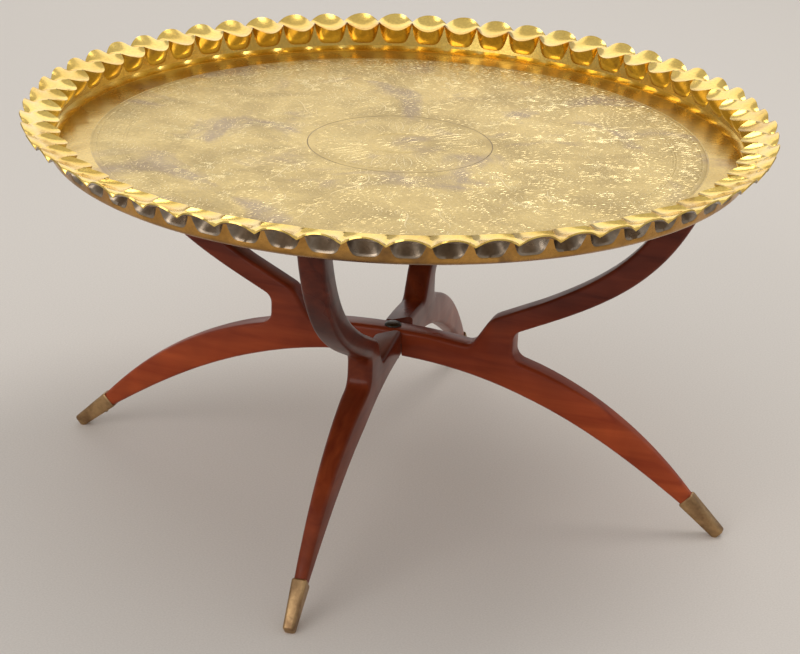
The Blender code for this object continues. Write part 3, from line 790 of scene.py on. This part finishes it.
def leg_edge(t, side):
    """A point on the leg's upper (1) or lower (-1) edge, from the pivot down to the ankle."""
    start = Vector((0.0, BEAM_CENTRE_HEIGHT))
    curve = (start, start + Vector((LEG_HANDLE, 0.0)), ANKLE - FOOT_AXIS * LEG_HANDLE, ANKLE)
    width = cubic(BEAM_HEIGHT, BEAM_HEIGHT, LEG_BELLY, SABOT_TOP[0] - 2 * SKIN, t)
    return cubic(*curve, t) + left_of(cubic_slope(*curve, t)) * (side * width / 2)


def arm_edge(t, side):
    """A point on the arm's inner (1) or outer (-1) edge, from its root up to its flat tip."""
    root_way = Vector((math.cos(ARM_ROOT_SLOPE), math.sin(ARM_ROOT_SLOPE)))
    tip_way = Vector((math.cos(ARM_TIP_SLOPE), math.sin(ARM_TIP_SLOPE)))
    curve = (ARM_ROOT, ARM_ROOT + root_way * ARM_ROOT_HANDLE, ARM_TIP - tip_way * ARM_TIP_HANDLE, ARM_TIP)
    width = ARM_ROOT_WIDTH + (ARM_TIP_WIDTH - ARM_ROOT_WIDTH) * t
    if t == 1.0:
        return ARM_TIP - Vector((side * width / 2 / math.sin(ARM_TIP_SLOPE), 0.0))
    return cubic(*curve, t) + left_of(cubic_slope(*curve, t)) * (side * width / 2)


def rounded_corner(before, corner, after, radius):
    """Points of the arc that rounds a corner between two straight lines."""
    way_in = (corner - before).normalized()
    way_out = (after - corner).normalized()
    turn = math.acos(max(-1.0, min(1.0, way_in.dot(way_out))))
    start = corner - way_in * (radius * math.tan(turn / 2))
    hand = 1.0 if way_in.x * way_out.y - way_in.y * way_out.x > 0 else -1.0
    centre = start + left_of(way_in) * (hand * radius)
    points = []
    for step in range(CORNER_STEPS + 1):
        angle = hand * turn * step / CORNER_STEPS
        points.append(centre + Matrix.Rotation(angle, 2) @ (start - centre))
    return points


def station_at(reach):
    """The leg curve's parameter where its upper edge passes a given reach."""
    low, high = 0.0, 1.0
    for _ in range(HALVINGS):
        middle = (low + high) / 2
        if leg_edge(middle, 1).x < reach:
            low = middle
        else:
            high = middle
    return low


def curve_run(edge, side, first, last, steps):
    return [edge(first + (last - first) * step / steps, side) for step in range(steps + 1)]


def cap_size(along, top, end):
    return end + (top - end) * along / SABOT_LENGTH


def half_outline():
    """One leg and arm in the frame's plane, from the beam's top round to its underside."""
    inner_root = arm_edge(0.0, 1)
    outer_root = arm_edge(0.0, -1)
    neck_foot = leg_edge(station_at(NECK_FOOT_REACH), 1)
    neck_top = Vector((NECK_TOP_REACH, inner_root.y - NECK_TOP_DROP))
    leg_start = station_at(CROTCH_REACH + 2 * CROTCH_RADIUS)
    crotch_low = leg_edge(station_at(CROTCH_REACH), 1)
    root_way = outer_root - arm_edge(ARM_ROOT_STEP, -1)
    crotch_high = outer_root + root_way * ((CROTCH_REACH - outer_root.x) / root_way.x)
    shin_end = FOOT_END - FOOT_AXIS * (SABOT_END_WALL + SEAT_GAP)
    shin_half = cap_size(SABOT_END_WALL, SABOT_TOP[0], SABOT_END[0]) / 2 - SKIN
    points = curve_run(leg_edge, 1, 0.0, station_at(NECK_FOOT_REACH - NECK_FOOT_RADIUS), CORNER_STEPS)
    points += rounded_corner(points[-1], neck_foot, neck_top, NECK_FOOT_RADIUS)
    points += rounded_corner(neck_foot, neck_top, inner_root, NECK_TOP_RADIUS)
    points += curve_run(arm_edge, 1, ARM_CURVE_START, ARM_CURVE_END, CURVE_STEPS)
    points += [arm_edge(1.0, 1), arm_edge(1.0, -1)]
    points += reversed(curve_run(arm_edge, -1, ARM_CURVE_START, ARM_CURVE_END, CURVE_STEPS))
    points += rounded_corner(outer_root, crotch_high, crotch_low, CROTCH_RADIUS)
    points += rounded_corner(crotch_high, crotch_low, leg_edge(leg_start, 1), CROTCH_RADIUS)
    points += curve_run(leg_edge, 1, leg_start, 1.0, CURVE_STEPS)
    points += [shin_end + FOOT_UP * shin_half, shin_end - FOOT_UP * shin_half]
    points += reversed(curve_run(leg_edge, -1, 0.0, 1.0, UNDERSIDE_STEPS))
    return points


def board_thickness(reach, height):
    """Board thickness at a point of the frame's plane; legs thin out towards their caps."""
    along = (FOOT_END - Vector((reach, height))).dot(FOOT_AXIS)
    if reach <= TAPER_START or height > ARM_ROOT.y - ARM_ROOT_WIDTH:
        return BOARD
    if along < SABOT_LENGTH:
        return cap_size(along, SABOT_TOP[1], SABOT_END[1]) - 2 * SKIN
    ankle = SABOT_TOP[1] - 2 * SKIN
    return BOARD + (ankle - BOARD) * (reach - TAPER_START) / (ANKLE.x - TAPER_START)


def frame_bmesh():
    """A whole board: two mirrored halves, with thinner legs from where the taper starts."""
    half = half_outline()
    outline = half + [Vector((-point.x, point.y)) for point in reversed(half[1:-1])]
    mesh = bmesh.new()
    sides = []
    for face in (1.0, -1.0):
        sides.append([mesh.verts.new((point.x, face, point.y)) for point in outline])
    front, back = sides
    count = len(outline)
    for index in range(count):
        after = (index + 1) % count
        mesh.faces.new((front[index], front[after], back[after], back[index]))
    mesh.faces.new(list(reversed(front)))
    mesh.faces.new(back)
    for hand in (1, -1):
        for point, normal in ((Vector((TAPER_START, 0.0)), Vector((1.0, 0.0))), (ANKLE, FOOT_AXIS)):
            place = (hand * point.x, 0.0, point.y)
            way = (hand * normal.x, 0.0, normal.y)
            geometry = mesh.verts[:] + mesh.edges[:] + mesh.faces[:]
            bmesh.ops.bisect_plane(mesh, geom=geometry, dist=PLANE_MARGIN, plane_co=place, plane_no=way)
    for vertex in mesh.verts:
        thickness = board_thickness(abs(vertex.co.x), vertex.co.z)
        vertex.co.y *= thickness / 2
    bmesh.ops.recalc_face_normals(mesh, faces=mesh.faces)
    return mesh


def prism_bmesh(points, low, high):
    """An upright prism over a plan, between two heights."""
    mesh = bmesh.new()
    bottom = [mesh.verts.new((x, y, low)) for x, y in points]
    top = [mesh.verts.new((x, y, high)) for x, y in points]
    count = len(points)
    for index in range(count):
        after = (index + 1) % count
        mesh.faces.new((bottom[index], bottom[after], top[after], top[index]))
    mesh.faces.new(list(reversed(bottom)))
    mesh.faces.new(top)
    bmesh.ops.recalc_face_normals(mesh, faces=mesh.faces)
    return mesh


def strip_edge(heading, side, y):
    """A point on one side of the room that the other board takes up at a heading."""
    half = BOARD / 2 + NOTCH_GAP
    return (y / math.tan(heading) + side * half / math.sin(heading), y)


def notch_points(headings):
    """Plan of the notch that lets the other board turn between two headings."""
    low, high = sorted(headings)
    edge = BOARD / 2 + CUT_MARGIN
    widening = 1.0 / math.sin(low) - 1.0 / math.sin(high)
    knee = (BOARD / 2 + NOTCH_GAP) * widening / (1.0 / math.tan(low) - 1.0 / math.tan(high))
    left = [strip_edge(high, -1, edge), strip_edge(high, -1, knee), strip_edge(low, -1, -edge)]
    right = [strip_edge(high, 1, -edge), strip_edge(high, 1, -knee), strip_edge(low, 1, edge)]
    return left + right


def round_edges(item, width, steps):
    bevel = item.modifiers.new("edge_round", "BEVEL")
    bevel.width = width
    bevel.segments = steps
    bevel.limit_method = "ANGLE"
    bevel.angle_limit = math.radians(ROUNDED_ANGLE)
    bevel.use_clamp_overlap = False


def cut(item, cutter):
    modifier = item.modifiers.new("cut", "BOOLEAN")
    modifier.operation = "DIFFERENCE"
    modifier.solver = "EXACT"
    modifier.object = cutter


def bore_points():
    """Plan of the pivot's bore."""
    bore = BOLT_RADIUS + SEAT_GAP
    points = []
    for index in range(BORE_SIDES):
        angle = 2 * math.pi * index / BORE_SIDES
        points.append((bore * math.cos(angle), bore * math.sin(angle)))
    return points


def build_frame(level, turn, headings, notch_up, material):
    """A rounded board, notched on top or below for the other board and bored for the bolt."""
    board = from_bmesh("frame_" + level + "_visual", frame_bmesh(), material)
    round_edges(board, EDGE_ROUND, EDGE_STEPS)
    board.modifiers.new("flat_facets", "TRIANGULATE")
    lap = BEAM_CENTRE_HEIGHT
    reach = BEAM_HEIGHT / 2 + CUT_MARGIN
    low, high = (lap - SEAT_GAP / 2, lap + reach) if notch_up else (lap - reach, lap + SEAT_GAP / 2)
    notch = from_bmesh("notch", prism_bmesh(notch_points(headings), low, high))
    hole = from_bmesh("hole", prism_bmesh(bore_points(), lap - reach, lap + reach))
    cut(board, notch)
    cut(board, hole)
    bake_modifiers(board, (notch, hole))
    shade(board, BOARD_SHARP)
    board.rotation_euler = (0.0, 0.0, turn)
    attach(board, level + "_stand")
    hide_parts("frame_" + level)


def cap_bmesh(mouth, end, far, near):
    """A tapered block along the foot's axis between two distances from the foot's end."""
    mesh = bmesh.new()
    rings = []
    for along, (width, thick) in ((far, mouth), (near, end)):
        centre = FOOT_END - FOOT_AXIS * along
        ring = []
        for up, across in ((1, 1), (1, -1), (-1, -1), (-1, 1)):
            point = centre + FOOT_UP * (up * width / 2)
            ring.append(mesh.verts.new((point.x, across * thick / 2, point.y)))
        rings.append(ring)
    top, low = rings
    for index in range(len(top)):
        after = (index + 1) % len(top)
        mesh.faces.new((top[index], top[after], low[after], low[index]))
    mesh.faces.new(list(reversed(top)))
    mesh.faces.new(low)
    bmesh.ops.recalc_face_normals(mesh, faces=mesh.faces)
    return mesh


def build_sabot(foot, body, turn, material):
    """A hollow brass foot cap, ground flat where it meets the floor."""
    block = cap_bmesh(SABOT_TOP, SABOT_END, SABOT_LENGTH, 0.0)
    cap = from_bmesh("sabot_" + foot + "_visual", block, material)
    round_edges(cap, SABOT_ROUND, SABOT_STEPS)
    mouth = SABOT_LENGTH + CUT_MARGIN
    sizes = []
    for along in (mouth, SABOT_END_WALL):
        sizes.append([cap_size(along, top, end) - 2 * SABOT_WALL for top, end in zip(SABOT_TOP, SABOT_END)])
    pocket = from_bmesh("pocket", cap_bmesh(sizes[0], sizes[1], mouth, SABOT_END_WALL))
    round_edges(pocket, SABOT_ROUND - SABOT_WALL, POCKET_STEPS)
    reach = FOOT_END.x + SABOT_LENGTH
    plan = [(0.0, -SABOT_LENGTH), (reach, -SABOT_LENGTH), (reach, SABOT_LENGTH), (0.0, SABOT_LENGTH)]
    ground = from_bmesh("ground", prism_bmesh(plan, -SABOT_LENGTH, 0.0))
    cut(cap, pocket)
    cut(cap, ground)
    bake_modifiers(cap, (pocket, ground))
    shade(cap, CAP_SHARP)
    cap.rotation_euler = (0.0, 0.0, turn)
    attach(cap, body)
    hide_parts("sabot_" + foot)


def build_stand():
    """Both boards, each with two foot caps."""
    upper_headings = (OPEN_ANGLE, FOLDED_ANGLE)
    lower_headings = [math.pi - heading for heading in upper_headings]
    layout = (
        ("upper", 0.0, upper_headings, False, ("right", "left"), UPPER_TONE),
        ("lower", OPEN_ANGLE, lower_headings, True, ("back", "front"), LOWER_TONE),
    )
    cap_brass = brass("sabot_brass", bright=(0.52, 0.33, 0.16), dull=(0.30, 0.18, 0.09),
                      stain=(0.08, 0.05, 0.034), patch_size=18.0 * MM, stain_share=0.34,
                      roughness=(0.34, 0.5), grain_depth=0.05 * MM)
    for seed, (level, turn, headings, notch_up, feet, tone) in enumerate(layout):
        build_frame(level, turn, headings, notch_up, wood(level + "_wood", seed, tone))
        for index, foot in enumerate(feet):
            build_sabot(foot, level + "_stand", turn + math.pi * index, cap_brass)


def dress_fastenings():
    """Bolt, washer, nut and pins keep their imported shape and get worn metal."""
    steel = dark_steel("pivot_steel_worn")
    pin_brass = brass("pin_brass_worn", bright=(0.5, 0.36, 0.17), dull=(0.3, 0.2, 0.1),
                      stain=(0.08, 0.05, 0.03), patch_size=5.0 * MM, stain_share=0.45,
                      roughness=(0.3, 0.48), grain_depth=0.04 * MM)
    for name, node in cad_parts.items():
        if name.startswith("pivot_"):
            node.material_slots[0].material = steel
        elif name.startswith("sabot_pin_"):
            node.material_slots[0].material = pin_brass


# Studio

def build_camera():
    data = bpy.data.cameras.new("camera")
    data.sensor_width = SENSOR_WIDTH
    data.lens = FOCAL_PIXELS / IMAGE_WIDTH * SENSOR_WIDTH
    camera = bpy.data.objects.new("camera", data)
    bpy.context.scene.collection.objects.link(camera)
    place = Vector((0.0, -math.cos(CAMERA_ELEVATION), math.sin(CAMERA_ELEVATION))) * CAMERA_DISTANCE
    level = math.cos(CAMERA_PITCH)
    forward = Vector((math.sin(CAMERA_YAW) * level, math.cos(CAMERA_YAW) * level, -math.sin(CAMERA_PITCH)))
    right = Vector((math.cos(CAMERA_YAW), -math.sin(CAMERA_YAW), 0.0))
    down = forward.cross(right)
    tilt = Matrix.Rotation(CAMERA_ROLL, 3, forward)
    axes = Matrix((tilt @ right, tilt @ -down, -forward)).transposed()
    swing = Matrix.Rotation(CAMERA_TURN, 4, "Z")
    camera.matrix_world = swing @ Matrix.Translation(place) @ axes.to_4x4()
    camera.location.z += CAMERA_DATUM
    bpy.context.scene.camera = camera


def build_floor():
    material, tree, shader = new_material("studio_floor")
    weave = noise(tree, object_space(tree), FLOOR_WEAVE, detail=2.0)
    base = ramp(tree, weave, zip((0.3, 0.7), FLOOR_COLOURS))
    tree.links.new(base, shader.inputs["Base Color"])
    shader.inputs["Roughness"].default_value = 0.9
    mesh = bpy.data.meshes.new("studio_floor")
    half = FLOOR_HALF
    corners = [(-half, -half, 0.0), (half, -half, 0.0), (half, half, 0.0), (-half, half, 0.0)]
    mesh.from_pydata(corners, [], [(0, 1, 2, 3)])
    link_object("studio_floor", mesh, material)


def build_light(name, place, size, power, colour):
    data = bpy.data.lights.new(name, "AREA")
    data.shape = "DISK"
    data.size = size
    data.energy = power
    data.color = colour
    lamp = bpy.data.objects.new(name, data)
    bpy.context.scene.collection.objects.link(lamp)
    swing = Matrix.Rotation(CAMERA_TURN, 3, "Z")
    lamp.location = swing @ Vector(place)
    lamp.rotation_euler = (Vector(LAMP_TARGET) - lamp.location).to_track_quat("-Z", "Y").to_euler()


def build_world():
    world = bpy.data.worlds.new("studio")
    bpy.context.scene.world = world
    world.use_nodes = True
    tree = world.node_tree
    background = tree.nodes["Background"]
    coords = tree.nodes.new("ShaderNodeTexCoord")
    split = tree.nodes.new("ShaderNodeSeparateXYZ")
    tree.links.new(coords.outputs["Generated"], split.inputs["Vector"])
    sky = ramp(tree, split.outputs["Z"], zip((0.0, SKY_RISE), SKY_COLOURS))
    tree.links.new(sky, background.inputs["Color"])
    background.inputs["Strength"].default_value = SKY_STRENGTH


def build_studio():
    bpy.context.scene.view_settings.view_transform = "Standard"
    for lamp in LAMPS:
        build_light(*lamp)
    build_world()
    build_floor()
    build_camera()


def build_brass():
    """The tray's brasses, in the order of its material numbers, and that of the chased lines, whose pale
    colour is a painted highlight.
    """
    field = brass("field_brass", bright=(0.66, 0.485, 0.165), dull=(0.51, 0.375, 0.145),
                  stain=(0.38, 0.275, 0.165), patch_size=62.0 * MM, stain_share=0.46,
                  roughness=(0.30, 0.46), grain_depth=0.10 * MM)
    gold = brass("rim_brass", bright=(0.95, 0.68, 0.19), dull=(0.84, 0.56, 0.13),
                 stain=(0.52, 0.31, 0.09), patch_size=60.0 * MM, stain_share=0.36,
                 roughness=(0.14, 0.26), grain_depth=0.03 * MM)
    under = brass("band_brass", bright=(0.56, 0.30, 0.08), dull=(0.40, 0.20, 0.05),
                  stain=(0.22, 0.12, 0.05), patch_size=50.0 * MM, stain_share=0.42,
                  roughness=(0.22, 0.36), grain_depth=0.03 * MM)
    # grey-brown and darker than the other brass: patina on the scoops' outsides, together with a painted
    # dark reflection of a dim room
    scoop = brass("scoop_brass_patina_and_painted_reflection", bright=(0.46, 0.37, 0.28), dull=(0.30, 0.235, 0.17),
                  stain=(0.16, 0.12, 0.09), patch_size=26.0 * MM, stain_share=0.44,
                  roughness=(0.24, 0.38), grain_depth=0.03 * MM)
    margin = brass("margin_brass", bright=(0.70, 0.49, 0.13), dull=(0.58, 0.39, 0.10),
                   stain=(0.42, 0.27, 0.12), patch_size=60.0 * MM, stain_share=0.42,
                   roughness=(0.20, 0.34), grain_depth=0.03 * MM)
    # paler than the field all over: a painted highlight of the light that the raised chased lines catch
    chased = brass("chased_brass_painted_highlight", bright=(0.95, 0.79, 0.44), dull=(0.86, 0.68, 0.34),
                   stain=(0.64, 0.48, 0.27), patch_size=50.0 * MM, stain_share=0.36,
                   roughness=(0.30, 0.44), grain_depth=0.02 * MM)
    groove = brass("groove_brass", bright=(0.34, 0.25, 0.12), dull=(0.25, 0.18, 0.09),
                   stain=(0.16, 0.11, 0.07), patch_size=40.0 * MM, stain_share=0.4,
                   roughness=(0.4, 0.55), grain_depth=0.02 * MM)
    return (field, gold, under, scoop, margin, groove), chased


def build():
    tray_materials, chased = build_brass()
    build_tray(tray_materials)
    build_chasing(chased)
    build_stand()
    dress_fastenings()
    build_studio()


build()
